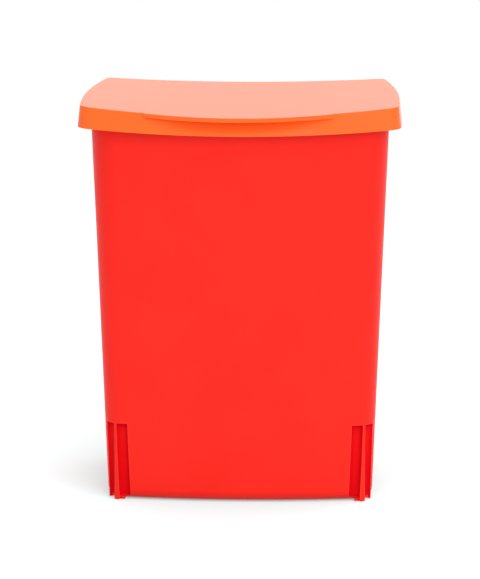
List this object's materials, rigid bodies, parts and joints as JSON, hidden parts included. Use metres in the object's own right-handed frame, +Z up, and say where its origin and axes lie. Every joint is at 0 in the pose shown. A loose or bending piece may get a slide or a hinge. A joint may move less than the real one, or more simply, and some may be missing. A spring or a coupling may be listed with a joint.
{
  "type": "recycling bin",
  "caption": "Free-standing tapered kitchen recycling bin with fluted lower corners and a dished, hinged lid on a lift-off rim collar, opened by a finger lip at the front.",
  "frame": {"origin": "on the floor under the middle of the lid, which is the widest and deepest piece", "axes": "+Z up, the front with the finger lip faces -Y, +X to the right of someone facing the front"},
  "size_m": [0.262, 0.2052, 0.3297],
  "materials": {
    "bucket_plastic": "satin moulded",
    "lid_plastic": "satin moulded",
    "collar_plastic": "satin moulded",
    "hinge_steel": "drawn",
    "buffer_rubber": "matt",
    "pad_rubber": "matt"
  },
  "bodies": {
    "bucket": {"bucket_shell": "bucket_plastic", "foot_pad_front_left": "pad_rubber", "foot_pad_front_right": "pad_rubber", "foot_pad_rear_left": "pad_rubber", "foot_pad_rear_right": "pad_rubber"},
    "lid_unit": {"rim_collar": "collar_plastic", "hinge_pin_left": "hinge_steel", "hinge_pin_right": "hinge_steel"},
    "lid": {"lid_shell": "lid_plastic", "lid_buffer_left": "buffer_rubber", "lid_buffer_right": "buffer_rubber"}
  },
  "joints": [
    {"name": "collar_lift", "type": "slide", "parent": "bucket", "child": "lid_unit", "axis": [0, 0, 1], "range_m": [0, 0.04]},
    {"name": "lid_hinge", "type": "hinge", "parent": "lid_unit", "child": "lid", "pos_m": [0, 0.0938, 0.315], "axis": [-1, 0, 0], "range_deg": [0, 100]}
  ]
}
